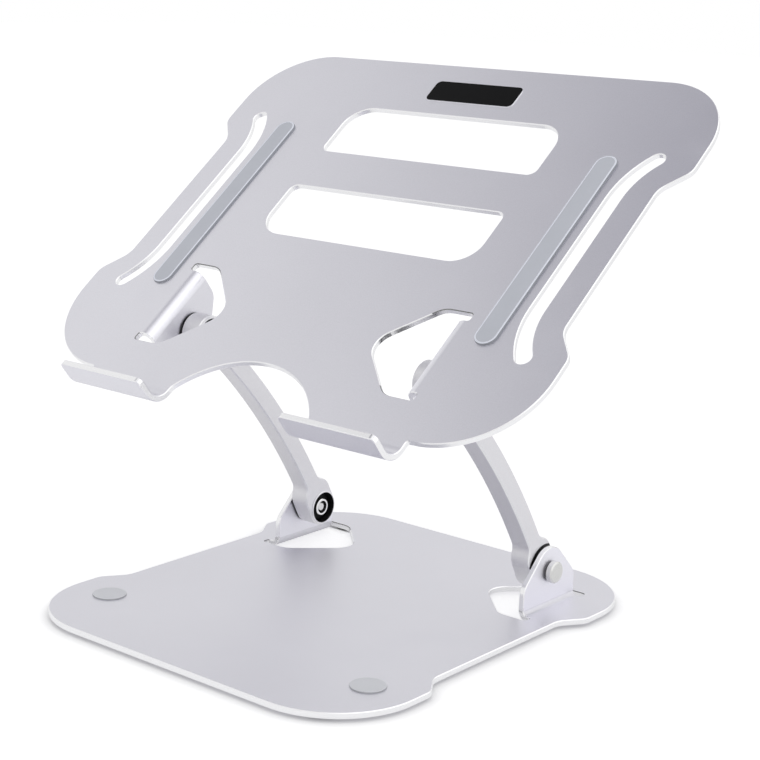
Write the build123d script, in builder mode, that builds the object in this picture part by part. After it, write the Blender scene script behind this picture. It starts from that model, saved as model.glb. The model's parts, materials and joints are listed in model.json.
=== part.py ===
# Folding laptop stand: a bent sheet base, two bowed arms on friction pivots and a bent sheet platform.
# Millimetres, +Z up. The origin is the middle of the base, on the surface that the feet stand on.
# The user sits at -Y, and +X is on the user's right.
from build123d import *
import os
from math import acos, asin, atan2, cos, degrees, hypot, radians, sin, tan

# Sheet stock and fits
SHEET = 3.0
BEND_RADIUS = 2.5
EDGE_CHAMFER = 0.4
RUNNING_GAP = 0.05

# Two faces count as square to each other when the cosine of the angle between them is under the
# limit, and a fillet takes at most this share of the straight edge beside it
SQUARE_LIMIT = 0.5
FILLET_ROOM_SHARE = 0.95

# Base plate, the same at the front and the rear: the shoulders are the wide ends on either side of its waist
BASE_WIDTH = 217.0
BASE_DEPTH = 243.0
BASE_CORNER_RADIUS = 45.0
BASE_WAIST_INSET = 8.5
BASE_SHOULDER = 58.5
BASE_WAIST_RAMP = 12.5
BASE_PIVOT_INSET = 55.5

# Platform plate: the pivot inset is from its front edge, and the waist runs from the rear inset
# to the front inset, which is measured from the pivots
PLATFORM_WIDTH = 295.0
PLATFORM_DEPTH = 239.0
PLATFORM_TILT = 37.8
PLATFORM_PIVOT_INSET = 48.0
PLATFORM_REAR_RADIUS = 41.0
PLATFORM_FRONT_RADIUS = 47.0
PLATFORM_WAIST_INSET = 11.1
PLATFORM_WAIST_REAR = 59.5
PLATFORM_WAIST_FRONT = 12.5
PLATFORM_WAIST_RAMP = 13.5
WAIST_CONVEX_RADIUS = 8.5
WAIST_CONCAVE_RADIUS = 11.5

# Tabs that carry the pivots, bent out of both plates, and the openings they leave
TAB_INNER_X = 80.5
TAB_ROOT_WIDTH = 45.0
TAB_SHOULDER_HEIGHT = 13.0
TAB_SHOULDER_RADIUS = 8.0
TAB_TOP_RADIUS = 12.5
PIVOT_HEIGHT = 18.0
OPENING_SIDE_GAP = 4.5
OPENING_SHOULDER = 9.0
OPENING_SHOULDER_RADIUS = 10.0
OPENING_REACH = 35.8
OPENING_APEX_RADIUS = 11.0
RELIEF_DEPTH = 2.0
RELIEF_RADIUS = 1.5

# Arms: the length is from pivot to pivot, and the bow is the rise of the bar's middle over that line
ARM_LENGTH = 142.3
ARM_ELEVATION = 50.7
ARM_THICKNESS = 11.2
ARM_BAR_WIDTH = 10.0
ARM_BOW = 6.9
KNUCKLE_RADIUS = 10.0
KNUCKLE_LENGTH = 8.5
KNUCKLE_FILLET = 6.0
ARM_CHAMFER = 0.6
BOSS_RADIUS = 9.3
BOSS_HEIGHT = 0.5
BOSS_CHAMFER = 0.25
RECESS_RADIUS = 8.5
RECESS_DEPTH = 4.8

# Pivot hardware
BOLT_DIAMETER = 5.0
BOLT_HEAD_DIAMETER = 11.3
BOLT_HEAD_HEIGHT = 3.0
BOLT_HEAD_CHAMFER = 0.7
BOLT_END_CHAMFER = 0.5
BOLT_END_SUNK = 0.8
HEAD_WASHER_DIAMETER = 9.6
HEAD_WASHER_THICKNESS = 1.2
FRICTION_WASHER_DIAMETER = 18.0
FRICTION_WASHER_THICKNESS = 0.8
DISC_SPRING_DIAMETER = 16.4
DISC_SPRING_THICKNESS = 0.9
DISC_SPRING_RISE = 0.6
NUT_DIAMETER = 9.5
NUT_THICKNESS = 2.2
NUT_CHAMFER = 0.3
NUT_COUNTERSINK_DIAMETER = 7.0
NUT_COUNTERSINK_DEPTH = 1.0

# Hooks at the front edge of the platform, and the arch between them
HOOK_WIDTH = 55.3
HOOK_NOTCH = 1.7
HOOK_NOTCH_RADIUS = 1.2
HOOK_STRAP = 4.2
HOOK_BEND_RADIUS = 8.0
HOOK_HEIGHT = 17.5
HOOK_CORNER_RADIUS = 3.0
ARCH_HEIGHT = 25.0
ARCH_START = 1.5
ARCH_END_RADIUS = 8.0

# Vents in the platform: insets from the rear edge and from the pivots, and the bridge between the two
VENT_WIDTH = 135.0
VENT_REAR_INSET = 38.5
VENT_PIVOT_INSET = 55.6
VENT_BRIDGE = 26.8
VENT_FAR_RADIUS = 14.0
VENT_NEAR_RADIUS = 4.5

# Side slots of the platform: a straight middle with both ends curling outward
SLOT_WIDTH = 8.0
SLOT_EDGE_INSET = 30.2
SLOT_REAR_INSET = 82.0
SLOT_PIVOT_INSET = 36.0
SLOT_CURL_RADIUS = 48.5
SLOT_CURL_ANGLE = 35.0

# Grip strips, nameplate, bumpers and feet
STRIP_WIDTH = 11.8
STRIP_HEIGHT = 1.2
STRIP_EDGE_INSET = 45.5
STRIP_REAR_INSET = 55.8
STRIP_PIVOT_INSET = 10.0
STRIP_FILLET = 0.6
NAMEPLATE_WIDTH = 55.0
NAMEPLATE_DEPTH = 15.0
NAMEPLATE_HEIGHT = 0.5
NAMEPLATE_RADIUS = 3.0
NAMEPLATE_REAR_INSET = 21.0
BUMPER_DIAMETER = 17.0
BUMPER_HEIGHT = 0.8
BUMPER_AHEAD = 1.7
BUMPER_OUTBOARD = 4.0
FOOT_DIAMETER = 18.0
FOOT_HEIGHT = 1.5
FOOT_SIDE_INSET = 28.5
FOOT_END_INSET = 17.5
RUBBER_FILLET = 0.5

SIDES = {"left": -1, "right": 1}

# Planes and pivots that the pieces share
base_top = FOOT_HEIGHT + SHEET
lower_pivot = Vector(0, BASE_DEPTH / 2 - BASE_PIVOT_INSET, base_top + PIVOT_HEIGHT)
arm_direction = Vector(0, -cos(radians(ARM_ELEVATION)), sin(radians(ARM_ELEVATION)))
upper_pivot = lower_pivot + arm_direction * ARM_LENGTH
up_slope = Vector(0, cos(radians(PLATFORM_TILT)), sin(radians(PLATFORM_TILT)))
platform_normal = Vector(0, -sin(radians(PLATFORM_TILT)), cos(radians(PLATFORM_TILT)))

# The platform frame has its origin on the upper pivot axis, X to the right and Y up the slope
platform_frame = Plane(origin=upper_pivot, x_dir=(1, 0, 0), z_dir=platform_normal)
platform_under = platform_frame.offset(PIVOT_HEIGHT)
platform_top = platform_frame.offset(PIVOT_HEIGHT + SHEET)
platform_side = Plane(origin=upper_pivot, x_dir=up_slope, z_dir=(1, 0, 0))
rear_edge = PLATFORM_DEPTH - PLATFORM_PIVOT_INSET
front_edge = -PLATFORM_PIVOT_INSET

# Each tab frame has its origin on a pivot axis and Z along the way its tab points
lower_tab_frame = Plane(origin=lower_pivot, x_dir=(1, 0, 0), z_dir=(0, 0, 1))
upper_tab_frame = Plane(origin=upper_pivot, x_dir=(1, 0, 0), z_dir=-platform_normal)

# Stations along each pivot axis, from the head of the bolt to its end
tab_outer_x = TAB_INNER_X + SHEET
head_seat_x = tab_outer_x + HEAD_WASHER_THICKNESS
head_face_x = head_seat_x + BOLT_HEAD_HEIGHT
arm_outer_x = TAB_INNER_X - FRICTION_WASHER_THICKNESS - 2 * RUNNING_GAP
arm_inner_x = arm_outer_x - ARM_THICKNESS
boss_face_x = arm_inner_x - BOSS_HEIGHT
recess_floor_x = boss_face_x + RECESS_DEPTH
spring_seat_x = recess_floor_x - RUNNING_GAP
nut_seat_x = spring_seat_x - DISC_SPRING_RISE - DISC_SPRING_THICKNESS
nut_face_x = nut_seat_x - NUT_THICKNESS
bolt_end_x = nut_face_x + BOLT_END_SUNK
bolt_radius = BOLT_DIAMETER / 2
bore_radius = bolt_radius + RUNNING_GAP


def rounded_face(corners):
    """A face whose outline is a closed polygon of (x, y, corner radius)."""
    with BuildSketch() as face:
        with BuildLine():
            points = [(x, y) for x, y, _ in corners]
            radii = [radius for _, _, radius in corners]
            FilletPolyline(*points, radius=radii, close=True)
        make_face()
    return face.sketch


def both_sides(right_half):
    """Close a right-hand run of (x, y, corner radius) with its mirror image on the left."""
    return right_half + [(-x, y, radius) for x, y, radius in reversed(right_half)]


def tab_opening():
    """The right-hand opening that a tab is bent out of, with the pivot at y = 0."""
    bend_x = tab_outer_x + BEND_RADIUS
    relief_x = bend_x + RELIEF_DEPTH
    root = TAB_ROOT_WIDTH / 2
    side = root + OPENING_SIDE_GAP
    shoulder_x = TAB_INNER_X - OPENING_SHOULDER
    apex_x = TAB_INNER_X - OPENING_REACH
    return rounded_face([
        (bend_x, root, 0),
        (relief_x, root, RELIEF_RADIUS),
        (relief_x, side, RELIEF_RADIUS),
        (shoulder_x, side, OPENING_SHOULDER_RADIUS),
        (apex_x, 0, OPENING_APEX_RADIUS),
        (shoulder_x, -side, OPENING_SHOULDER_RADIUS),
        (relief_x, -side, RELIEF_RADIUS),
        (relief_x, -root, RELIEF_RADIUS),
        (bend_x, -root, 0),
    ])


def tab_outline():
    """A tab's blade above its bend, with the pivot at the origin: straight sides, then flanks
    that run tangent into the round top."""
    root = TAB_ROOT_WIDTH / 2
    foot_z = BEND_RADIUS - PIVOT_HEIGHT
    shoulder_z = TAB_SHOULDER_HEIGHT - PIVOT_HEIGHT
    tangent_angle = atan2(shoulder_z, root) + acos(TAB_TOP_RADIUS / hypot(root, shoulder_z))
    apex_z = TAB_TOP_RADIUS / sin(tangent_angle)
    return rounded_face([
        (root, foot_z, 0),
        (root, shoulder_z, TAB_SHOULDER_RADIUS),
        (0, apex_z, TAB_TOP_RADIUS),
        (-root, shoulder_z, TAB_SHOULDER_RADIUS),
        (-root, foot_z, 0),
    ])


def bent_tabs(frame):
    """The left and right tabs of one plate, from their bends up, bored for the pivot bolts."""
    bend_plane = Plane(origin=frame.origin, x_dir=frame.x_dir, z_dir=-frame.y_dir)
    blade_plane = Plane(origin=frame.origin, x_dir=frame.y_dir, z_dir=frame.x_dir)
    with BuildPart() as tabs:
        with BuildSketch(bend_plane):
            with Locations((tab_outer_x + BEND_RADIUS, BEND_RADIUS - PIVOT_HEIGHT)):
                Circle(BEND_RADIUS + SHEET)
                Circle(BEND_RADIUS, mode=Mode.SUBTRACT)
                Rectangle(
                    BEND_RADIUS + SHEET,
                    BEND_RADIUS + SHEET,
                    align=(Align.MAX, Align.MAX),
                    mode=Mode.INTERSECT,
                )
        extrude(amount=TAB_ROOT_WIDTH / 2, both=True)
        with BuildSketch(blade_plane.offset(TAB_INNER_X)):
            add(tab_outline())
            Circle(bore_radius, mode=Mode.SUBTRACT)
        extrude(amount=SHEET)
        mirror(about=Plane.YZ)
    return tabs.part


def skin_edges(sheet):
    """The edges where a bent sheet's skins meet its cut sides, without the lines across its thickness."""
    normals_along = {}
    for face in sheet.faces():
        for edge in face.edges():
            normals_along.setdefault(edge, []).append(face.normal_at(edge @ 0.5))
    square = [edge for edge, found in normals_along.items() if abs(found[0].dot(found[-1])) < SQUARE_LIMIT]
    return [edge for edge in square if abs(edge.length - SHEET) > EDGE_CHAMFER]


# Base plate
base_half_width = BASE_WIDTH / 2
base_half_depth = BASE_DEPTH / 2
waist_x = base_half_width - BASE_WAIST_INSET
shoulder_y = base_half_depth - BASE_SHOULDER
waist_y = shoulder_y - BASE_WAIST_RAMP
base_outline = rounded_face(both_sides([
    (base_half_width, -base_half_depth, BASE_CORNER_RADIUS),
    (base_half_width, -shoulder_y, WAIST_CONVEX_RADIUS),
    (waist_x, -waist_y, WAIST_CONCAVE_RADIUS),
    (waist_x, waist_y, WAIST_CONCAVE_RADIUS),
    (base_half_width, shoulder_y, WAIST_CONVEX_RADIUS),
    (base_half_width, base_half_depth, BASE_CORNER_RADIUS),
]))
with BuildPart() as base_plate:
    with BuildSketch(Plane.XY.offset(FOOT_HEIGHT)):
        add(base_outline)
    extrude(amount=SHEET)
    with BuildSketch(Plane.XY.offset(FOOT_HEIGHT)):
        with Locations((0, lower_pivot.Y)):
            add(tab_opening())
        mirror(about=Plane.YZ)
    extrude(amount=SHEET, mode=Mode.SUBTRACT)
    add(bent_tabs(lower_tab_frame))
    chamfer(skin_edges(base_plate.part), EDGE_CHAMFER)
base_plate.part.label = "base_plate"

# Platform plate
platform_half_width = PLATFORM_WIDTH / 2
platform_waist_x = platform_half_width - PLATFORM_WAIST_INSET
hook_outer_x = platform_half_width - PLATFORM_FRONT_RADIUS - HOOK_NOTCH
hook_inner_x = hook_outer_x - HOOK_WIDTH
hook_bend_y = front_edge - HOOK_STRAP
arch_foot_y = front_edge - ARCH_START
platform_outline = rounded_face(both_sides([
    (hook_outer_x, hook_bend_y, 0),
    (hook_outer_x, front_edge, HOOK_NOTCH_RADIUS),
    (platform_half_width, front_edge, PLATFORM_FRONT_RADIUS),
    (platform_half_width, PLATFORM_WAIST_FRONT, WAIST_CONVEX_RADIUS),
    (platform_waist_x, PLATFORM_WAIST_FRONT + PLATFORM_WAIST_RAMP, WAIST_CONCAVE_RADIUS),
    (platform_waist_x, rear_edge - PLATFORM_WAIST_REAR - PLATFORM_WAIST_RAMP, WAIST_CONCAVE_RADIUS),
    (platform_half_width, rear_edge - PLATFORM_WAIST_REAR, WAIST_CONVEX_RADIUS),
    (platform_half_width, rear_edge, PLATFORM_REAR_RADIUS),
]))

# The arch is the gap between the hooks: an arc that runs into each hook's inner edge, through a
# fillet that the straight part of that edge has room for
arch_radius = (ARCH_HEIGHT**2 + hook_inner_x**2) / (2 * ARCH_HEIGHT)
arch_foot_turn = acos(hook_inner_x / arch_radius)
arch_fillet_room = (HOOK_STRAP - ARCH_START) / tan(arch_foot_turn / 2)
arch_end_radius = min(ARCH_END_RADIUS, FILLET_ROOM_SHARE * arch_fillet_room)
with BuildSketch() as arch:
    with BuildLine():
        Polyline(
            (-hook_inner_x, arch_foot_y),
            (-hook_inner_x, hook_bend_y),
            (hook_inner_x, hook_bend_y),
            (hook_inner_x, arch_foot_y),
        )
        ThreePointArc(
            (hook_inner_x, arch_foot_y),
            (0, arch_foot_y + ARCH_HEIGHT),
            (-hook_inner_x, arch_foot_y),
        )
    make_face()
    fillet(arch.vertices().group_by(Axis.Y)[-1], arch_end_radius)

vent_half_width = VENT_WIDTH / 2
vent_front_y = VENT_PIVOT_INSET
vent_rear_y = rear_edge - VENT_REAR_INSET
vent_length = (vent_rear_y - vent_front_y - VENT_BRIDGE) / 2
rear_vent = rounded_face(both_sides([
    (vent_half_width, vent_rear_y, VENT_FAR_RADIUS),
    (vent_half_width, vent_rear_y - vent_length, VENT_NEAR_RADIUS),
]))
front_vent = rounded_face(both_sides([
    (vent_half_width, vent_front_y, VENT_FAR_RADIUS),
    (vent_half_width, vent_front_y + vent_length, VENT_NEAR_RADIUS),
]))

# One side slot: the curls are tangent to the straight middle
slot_x = platform_half_width - SLOT_EDGE_INSET
with BuildSketch() as side_slot:
    with BuildLine() as slot_line:
        CenterArc(
            (slot_x + SLOT_CURL_RADIUS, SLOT_PIVOT_INSET),
            SLOT_CURL_RADIUS,
            180 + SLOT_CURL_ANGLE,
            -SLOT_CURL_ANGLE,
        )
        Line((slot_x, SLOT_PIVOT_INSET), (slot_x, rear_edge - SLOT_REAR_INSET))
        CenterArc(
            (slot_x + SLOT_CURL_RADIUS, rear_edge - SLOT_REAR_INSET),
            SLOT_CURL_RADIUS,
            180,
            -SLOT_CURL_ANGLE,
        )
    SlotArc(slot_line.wire(), SLOT_WIDTH)

# A hook's section along the slope: a quarter bend and an upright lip
hook_bend_z = PIVOT_HEIGHT + SHEET + HOOK_BEND_RADIUS
hook_top_z = PIVOT_HEIGHT + SHEET + HOOK_HEIGHT
lip_inner_y = hook_bend_y - HOOK_BEND_RADIUS
lip_outer_y = lip_inner_y - SHEET
with BuildPart() as hooks:
    with BuildSketch(platform_side.offset(hook_inner_x)):
        with BuildLine():
            CenterArc((hook_bend_y, hook_bend_z), HOOK_BEND_RADIUS, 180, 90)
            CenterArc((hook_bend_y, hook_bend_z), HOOK_BEND_RADIUS + SHEET, 180, 90)
            Line((hook_bend_y, PIVOT_HEIGHT), (hook_bend_y, PIVOT_HEIGHT + SHEET))
            Polyline(
                (lip_inner_y, hook_bend_z),
                (lip_inner_y, hook_top_z),
                (lip_outer_y, hook_top_z),
                (lip_outer_y, hook_bend_z),
            )
        make_face()
    extrude(amount=HOOK_WIDTH)
    fillet(hooks.edges().filter_by(Axis((0, 0, 0), up_slope)), HOOK_CORNER_RADIUS)
    mirror(about=Plane.YZ)

with BuildPart() as platform_plate:
    with BuildSketch(platform_under):
        add(platform_outline)
        add(arch.sketch, mode=Mode.SUBTRACT)
        add(rear_vent, mode=Mode.SUBTRACT)
        add(front_vent, mode=Mode.SUBTRACT)
        add(side_slot.sketch, mode=Mode.SUBTRACT)
        add(mirror(side_slot.sketch, about=Plane.YZ, mode=Mode.PRIVATE), mode=Mode.SUBTRACT)
        add(tab_opening(), mode=Mode.SUBTRACT)
        add(mirror(tab_opening(), about=Plane.YZ, mode=Mode.PRIVATE), mode=Mode.SUBTRACT)
    extrude(amount=SHEET)
    add(hooks.part)
    add(bent_tabs(upper_tab_frame))
    chamfer(skin_edges(platform_plate.part), EDGE_CHAMFER)
platform_plate.part.label = "platform_plate"

# Arms, drawn from the lower pivot along the line to the upper one, with the bow towards the rear
arm_plane = Plane(origin=lower_pivot, x_dir=arm_direction, z_dir=(-1, 0, 0))
arm_ends = (0, ARM_LENGTH)
bow_radius = (ARM_LENGTH**2 / 4 + ARM_BOW**2) / (2 * ARM_BOW)
end_angle = degrees(asin(ARM_LENGTH / 2 / bow_radius))
knuckle_reach = KNUCKLE_LENGTH + KNUCKLE_RADIUS / 2
with BuildSketch() as arm_outline:
    with BuildLine() as arm_line:
        ThreePointArc((0, 0), (ARM_LENGTH / 2, ARM_BOW), (ARM_LENGTH, 0))
    SlotArc(arm_line.edge(), ARM_BAR_WIDTH)
    for end, heading in ((0, end_angle), (ARM_LENGTH, 180 - end_angle)):
        toward = Vector(cos(radians(heading)), sin(radians(heading))) * KNUCKLE_LENGTH
        SlotCenterPoint((end + toward.X / 2, toward.Y / 2), (end, 0), 2 * KNUCKLE_RADIUS)
    shoulders = arm_outline.vertices().filter_by(
        lambda corner: min(hypot(corner.X - end, corner.Y) for end in arm_ends) > knuckle_reach
    )
    fillet(shoulders, KNUCKLE_FILLET)

with BuildPart() as right_arm:
    with BuildSketch(arm_plane.offset(-arm_outer_x)):
        add(arm_outline.sketch)
    extrude(amount=ARM_THICKNESS)
    chamfer(right_arm.edges().group_by(Axis.X)[-1] + right_arm.edges().group_by(Axis.X)[0], ARM_CHAMFER)
    with BuildSketch(arm_plane.offset(-arm_inner_x)):
        with Locations(*[(end, 0) for end in arm_ends]):
            Circle(BOSS_RADIUS)
    extrude(amount=BOSS_HEIGHT)
    chamfer(right_arm.edges().group_by(Axis.X)[0], BOSS_CHAMFER)
    with BuildSketch(arm_plane.offset(-boss_face_x)):
        with Locations(*[(end, 0) for end in arm_ends]):
            Circle(RECESS_RADIUS)
    extrude(amount=-RECESS_DEPTH, mode=Mode.SUBTRACT)
    with BuildSketch(arm_plane.offset(-arm_outer_x)):
        with Locations(*[(end, 0) for end in arm_ends]):
            Circle(bore_radius)
    extrude(amount=ARM_THICKNESS, mode=Mode.SUBTRACT)
right_arm.part.label = "right_arm"

with BuildPart() as left_arm:
    mirror(right_arm.part, about=Plane.YZ)
left_arm.part.label = "left_arm"


def turned_piece(label, pivot, side, half_section):
    """A turned piece on a pivot axis, from a half section of (distance from mid-plane, radius)."""
    section_plane = Plane(origin=pivot, x_dir=(1, 0, 0), z_dir=(0, -1, 0))
    with BuildPart() as piece:
        with BuildSketch(section_plane):
            with BuildLine():
                Polyline(*[(side * x, radius) for x, radius in half_section], close=True)
            make_face()
        revolve(axis=Axis(pivot, (1, 0, 0)))
    piece.part.label = label
    return piece.part


def ring_section(near_x, far_x, outer_diameter):
    """The half section of a flat washer on a bolt."""
    outer = outer_diameter / 2
    return [(near_x, bore_radius), (far_x, bore_radius), (far_x, outer), (near_x, outer)]


# Half sections of the hardware, which is the same at all four pivots
bolt_head_radius = BOLT_HEAD_DIAMETER / 2
nut_radius = NUT_DIAMETER / 2
countersink_radius = NUT_COUNTERSINK_DIAMETER / 2
spring_radius = DISC_SPRING_DIAMETER / 2
hardware_sections = {
    "bolt": [
        (bolt_end_x, 0),
        (bolt_end_x, bolt_radius - BOLT_END_CHAMFER),
        (bolt_end_x + BOLT_END_CHAMFER, bolt_radius),
        (head_seat_x, bolt_radius),
        (head_seat_x, bolt_head_radius),
        (head_face_x - BOLT_HEAD_CHAMFER, bolt_head_radius),
        (head_face_x, bolt_head_radius - BOLT_HEAD_CHAMFER),
        (head_face_x, 0),
    ],
    "head_washer": ring_section(tab_outer_x, head_seat_x, HEAD_WASHER_DIAMETER),
    "friction_washer": ring_section(
        arm_outer_x + RUNNING_GAP, TAB_INNER_X - RUNNING_GAP, FRICTION_WASHER_DIAMETER
    ),
    "disc_spring": [
        (spring_seat_x, spring_radius),
        (spring_seat_x - DISC_SPRING_THICKNESS, spring_radius),
        (nut_seat_x, bore_radius),
        (nut_seat_x + DISC_SPRING_THICKNESS, bore_radius),
    ],
    "nut": [
        (nut_seat_x, bore_radius),
        (nut_seat_x, nut_radius),
        (nut_face_x + NUT_CHAMFER, nut_radius),
        (nut_face_x, nut_radius - NUT_CHAMFER),
        (nut_face_x, countersink_radius),
        (nut_face_x + NUT_COUNTERSINK_DEPTH, bore_radius),
    ],
}
hardware = [
    turned_piece(f"{side_name}_{level}_{kind}", pivot, side, section)
    for side_name, side in SIDES.items()
    for level, pivot in (("lower", lower_pivot), ("upper", upper_pivot))
    for kind, section in hardware_sections.items()
]


def grip_strip(label, side):
    """One of the two soft strips that the laptop lies on."""
    front_y = STRIP_PIVOT_INSET
    rear_y = rear_edge - STRIP_REAR_INSET
    with BuildPart() as strip:
        with BuildSketch(platform_top):
            with Locations((side * (platform_half_width - STRIP_EDGE_INSET), (front_y + rear_y) / 2)):
                SlotOverall(rear_y - front_y, STRIP_WIDTH, rotation=90)
        extrude(amount=STRIP_HEIGHT)
        fillet(strip.faces().sort_by(Axis((0, 0, 0), platform_normal))[-1].edges(), STRIP_FILLET)
    strip.part.label = label
    return strip.part


def rubber_disc(label, x, y, plane, diameter, height):
    """A round rubber pad on a plane, with its free edge rounded."""
    with BuildPart() as disc:
        with BuildSketch(plane):
            with Locations((x, y)):
                Circle(diameter / 2)
        extrude(amount=height)
        fillet(disc.faces().sort_by(Axis((0, 0, 0), plane.z_dir))[-1].edges(), RUBBER_FILLET)
    disc.part.label = label
    return disc.part


# Soft pieces: strips on the platform, bumpers where the platform's flaps come down, feet under the base
soft_pieces = []
foot_plane = Plane(origin=(0, 0, FOOT_HEIGHT), x_dir=(1, 0, 0), z_dir=(0, 0, -1))
foot_x = base_half_width - FOOT_SIDE_INSET
foot_y = base_half_depth - FOOT_END_INSET
bumper_x = TAB_INNER_X + BUMPER_OUTBOARD
bumper_y = lower_pivot.Y - ARM_LENGTH - BUMPER_AHEAD
for side_name, side in SIDES.items():
    soft_pieces.append(grip_strip(f"{side_name}_grip_strip", side))
    soft_pieces.append(rubber_disc(
        f"{side_name}_bumper",
        side * bumper_x,
        bumper_y,
        Plane.XY.offset(base_top),
        BUMPER_DIAMETER,
        BUMPER_HEIGHT,
    ))
    for end_name, end in (("front", 1), ("rear", -1)):
        soft_pieces.append(rubber_disc(
            f"{end_name}_{side_name}_foot",
            side * foot_x,
            end * foot_y,
            foot_plane,
            FOOT_DIAMETER,
            FOOT_HEIGHT,
        ))

with BuildPart() as nameplate:
    with BuildSketch(platform_top):
        with Locations((0, rear_edge - NAMEPLATE_REAR_INSET)):
            RectangleRounded(NAMEPLATE_WIDTH, NAMEPLATE_DEPTH, NAMEPLATE_RADIUS)
    extrude(amount=NAMEPLATE_HEIGHT)
nameplate.part.label = "nameplate"

# One file per piece
os.makedirs("parts", exist_ok=True)
plates_and_arms = [base_plate.part, platform_plate.part, left_arm.part, right_arm.part]
for piece in plates_and_arms + hardware + soft_pieces + [nameplate.part]:
    export_step(piece, f"parts/{piece.label}.step")
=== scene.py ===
"""Looks of a folding laptop stand: finishes, soft pads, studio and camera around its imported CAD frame.

Metres, +Z up, in the frame of the CAD part. The user sits at -Y, and +X is on the user's right.
"""

import json
import logging
import math
from abc import ABC, abstractmethod
from dataclasses import dataclass
from enum import Enum
from functools import reduce
from typing import Union

import bmesh
import bpy
from bmesh.types import BMesh, BMVert
from bpy.types import Material, Node, NodeSocket, NodeTree, Object
from mathutils import Matrix, Vector


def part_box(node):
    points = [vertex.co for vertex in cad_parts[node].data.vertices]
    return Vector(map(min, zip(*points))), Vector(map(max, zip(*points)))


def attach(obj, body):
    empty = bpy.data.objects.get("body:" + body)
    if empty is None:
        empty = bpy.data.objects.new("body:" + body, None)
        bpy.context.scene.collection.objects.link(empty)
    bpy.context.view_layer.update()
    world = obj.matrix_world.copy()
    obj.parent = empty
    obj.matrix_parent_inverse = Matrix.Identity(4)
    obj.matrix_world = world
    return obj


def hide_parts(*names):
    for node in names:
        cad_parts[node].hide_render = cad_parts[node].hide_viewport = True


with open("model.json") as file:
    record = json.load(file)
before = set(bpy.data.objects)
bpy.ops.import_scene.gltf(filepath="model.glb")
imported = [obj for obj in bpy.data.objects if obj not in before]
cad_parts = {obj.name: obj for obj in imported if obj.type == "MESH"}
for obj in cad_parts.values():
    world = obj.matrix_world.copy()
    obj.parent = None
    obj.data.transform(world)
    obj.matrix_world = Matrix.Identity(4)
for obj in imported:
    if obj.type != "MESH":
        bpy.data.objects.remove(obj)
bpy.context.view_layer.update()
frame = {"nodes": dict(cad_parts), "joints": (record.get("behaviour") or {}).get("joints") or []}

LOG = logging.getLogger("laptop_stand")
MM = 0.001

Rgb = tuple[float, float, float]
Point = tuple[float, float, float]
Profile = tuple[tuple[float, float], ...]
Feed = Union[NodeSocket, float, tuple]


class Side(Enum):
    """The two halves of the stand, with the sign of their X."""

    LEFT = -1
    RIGHT = 1

    @property
    def word(self) -> str:
        """The side's name as the CAD nodes spell it."""
        return self.name.lower()


class Level(Enum):
    """The two pivot axes, with the joint that turns about each."""

    LOWER = "lift"
    UPPER = "tilt"

    @property
    def word(self) -> str:
        """The level's name as the CAD nodes spell it."""
        return self.name.lower()

    @property
    def pivot(self) -> Vector:
        """A point on this pivot axis, on the stand's middle plane."""
        joint = next(joint for joint in frame["joints"] if joint["name"] == self.value)
        return Vector(joint["pos_m"])


class SocketKind(Enum):
    """The kinds of socket that the node groups have."""

    VALUE = "NodeSocketFloat"
    VECTOR = "NodeSocketVector"
    COLOR = "NodeSocketColor"


Sockets = dict[str, SocketKind]


# Shader nodes


def rgba(color: Rgb) -> tuple[float, float, float, float]:
    """The opaque colour that a colour socket takes."""
    return (*color, 1.0)


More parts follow.
